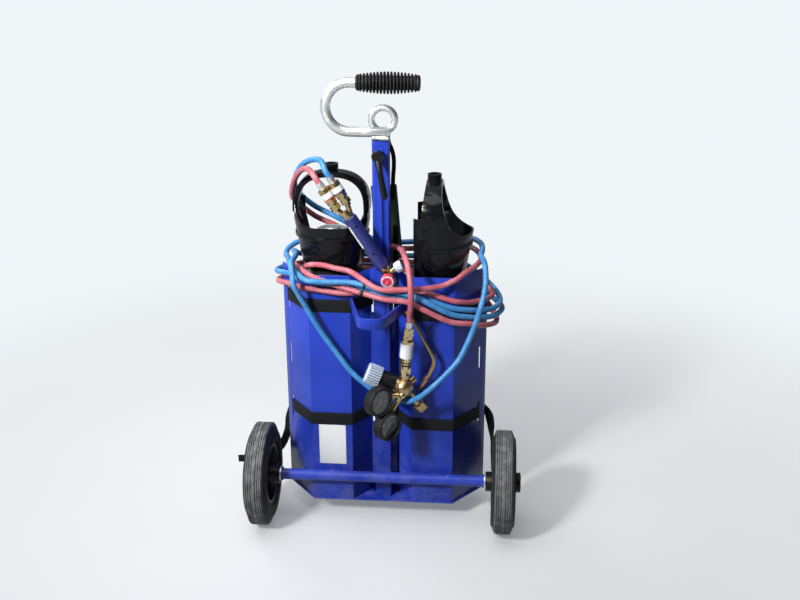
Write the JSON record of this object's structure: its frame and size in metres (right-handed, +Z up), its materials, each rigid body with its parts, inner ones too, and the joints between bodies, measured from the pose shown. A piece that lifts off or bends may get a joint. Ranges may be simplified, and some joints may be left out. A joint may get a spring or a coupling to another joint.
{
  "type": "oxy acetylene torch cart",
  "caption": "Hand cart with two strapped gas bottles, telescoping pull handle, solid wheels, wound twin hose, torch and regulator.",
  "frame": {"origin": "on the floor, under the middle of the rubber pad of the cart's front foot", "axes": "+Z up; +X to the right for a person behind the cart, along the axle; +Y from that person towards the bottles"},
  "size_m": [0.5798, 0.305, 0.879],
  "materials": {
    "blue_paint": "gloss royal blue powder coat",
    "zinc": "bright zinc plate",
    "dark_steel": "satin black",
    "tyre_rubber": "matte",
    "rubber": "matte",
    "black_plastic": "satin moulded",
    "bush_plastic": "natural nylon",
    "bottle_paint": "satin black",
    "guard_plastic": "fine textured",
    "brass": "machined",
    "copper": "heat-tinted copper",
    "handwheel_metal": "cast",
    "webbing": "woven polyester",
    "card_plastic": "dark green cover",
    "plate_white": "blank",
    "torch_blue": "anodised dark blue",
    "knob_red": "moulded",
    "knob_light": "bright",
    "red_rubber": "matte",
    "blue_rubber": "matte"
  },
  "bodies": {
    "cart": {"back_sheet": "blue_paint", "base_plate": "blue_paint", "front_foot": "blue_paint", "foot_pad": "rubber", "mast_tube": "blue_paint", "hose_bracket": "blue_paint", "axle_tube": "blue_paint", "axle_rod": "zinc", "axle_washers": "zinc", "axle_clips": "zinc", "clamp_nut": "zinc", "oxygen_bottle": "bottle_paint", "acetylene_bottle": "bottle_paint", "oxygen_guard": "guard_plastic", "acetylene_guard": "guard_plastic", "oxygen_valve": "brass", "acetylene_valve": "brass", "bottle_straps": "webbing", "strap_buckles": "zinc", "strap_tails": "webbing", "card_strap": "webbing", "card_holder": "card_plastic", "data_plate": "plate_white", "torch_handle": "torch_blue", "torch_head": "brass", "torch_butt": "brass", "check_valves": "brass", "tip_tube": "brass", "torch_nozzle": "copper", "regulator_body": "brass", "regulator_bonnet": "black_plastic", "pressure_gauges": "plate_white", "gauge_boots": "rubber", "flashback_arrestor": "brass", "hose_ferrules": "zinc", "hose_ties": "black_plastic", "red_hose": "red_rubber", "blue_hose": "blue_rubber"},
    "wheel_left": {"tyre_left": "tyre_rubber", "rim_left": "black_plastic", "wheel_bush_left": "bush_plastic", "hub_cap_left": "black_plastic"},
    "wheel_right": {"tyre_right": "tyre_rubber", "rim_right": "black_plastic", "wheel_bush_right": "bush_plastic", "hub_cap_right": "black_plastic"},
    "handle": {"handle_frame": "zinc", "handle_grip": "rubber", "lifting_eye": "zinc", "eye_nut": "zinc"},
    "clamp": {"clamp_lever": "dark_steel", "clamp_stud": "zinc", "clamp_cap": "black_plastic"},
    "oxygen_valve_wheel": {"oxygen_handwheel": "handwheel_metal"},
    "acetylene_valve_wheel": {"acetylene_handwheel": "handwheel_metal"},
    "fuel_knob": {"torch_fuel_knob": "knob_red"},
    "oxygen_knob": {"torch_oxygen_knob": "knob_light"},
    "regulator_knob": {"adjusting_knob": "knob_light"},
    "upper_needle": {"gauge_needle_upper": "black_plastic"},
    "lower_needle": {"gauge_needle_lower": "black_plastic"}
  },
  "joints": [
    {"name": "wheel_left_spin", "type": "hinge", "parent": "cart", "child": "wheel_left", "pos_m": [-0.235, -0.13565, 0.1], "axis": [1, 0, 0], "continuous": true},
    {"name": "wheel_right_spin", "type": "hinge", "parent": "cart", "child": "wheel_right", "pos_m": [0.235, -0.13565, 0.1], "axis": [1, 0, 0], "continuous": true},
    {"name": "handle_slide", "type": "slide", "parent": "cart", "child": "handle", "axis": [0, 0, 1], "range_m": [0, 0.34]},
    {"name": "clamp_turn", "type": "hinge", "parent": "cart", "child": "clamp", "pos_m": [-0.003, -0.118, 0.735], "axis": [0, -1, 0], "range_deg": [0, 120]},
    {"name": "oxygen_valve_turn", "type": "hinge", "parent": "cart", "child": "oxygen_valve_wheel", "pos_m": [-0.097, -0.0525, 0.572], "axis": [0, 0, 1], "range_deg": [0, 540]},
    {"name": "acetylene_valve_turn", "type": "hinge", "parent": "cart", "child": "acetylene_valve_wheel", "pos_m": [0.097, -0.0525, 0.556], "axis": [0, 0, 1], "range_deg": [0, 540]},
    {"name": "fuel_knob_turn", "type": "hinge", "parent": "cart", "child": "fuel_knob", "pos_m": [0.01638, -0.15928, 0.51737], "axis": [0, -0.9806, -0.1961], "range_deg": [0, 720]},
    {"name": "oxygen_knob_turn", "type": "hinge", "parent": "cart", "child": "oxygen_knob", "pos_m": [0.02948, -0.143, 0.53275], "axis": [0.8376, 0, 0.5463], "range_deg": [0, 720]},
    {"name": "regulator_knob_turn", "type": "hinge", "parent": "cart", "child": "regulator_knob", "pos_m": [0.00184, -0.17441, 0.3303], "axis": [-0.9203, -0.03, 0.3901], "range_deg": [0, 1440]},
    {"name": "upper_needle_swing", "type": "hinge", "parent": "cart", "child": "upper_needle", "pos_m": [0.0015, -0.215, 0.3015], "axis": [-0.7404, 0.6703, -0.05], "range_deg": [0, 270]},
    {"name": "lower_needle_swing", "type": "hinge", "parent": "cart", "child": "lower_needle", "pos_m": [0.017, -0.205, 0.248], "axis": [-0.7404, 0.6703, -0.05], "range_deg": [0, 270]}
  ]
}
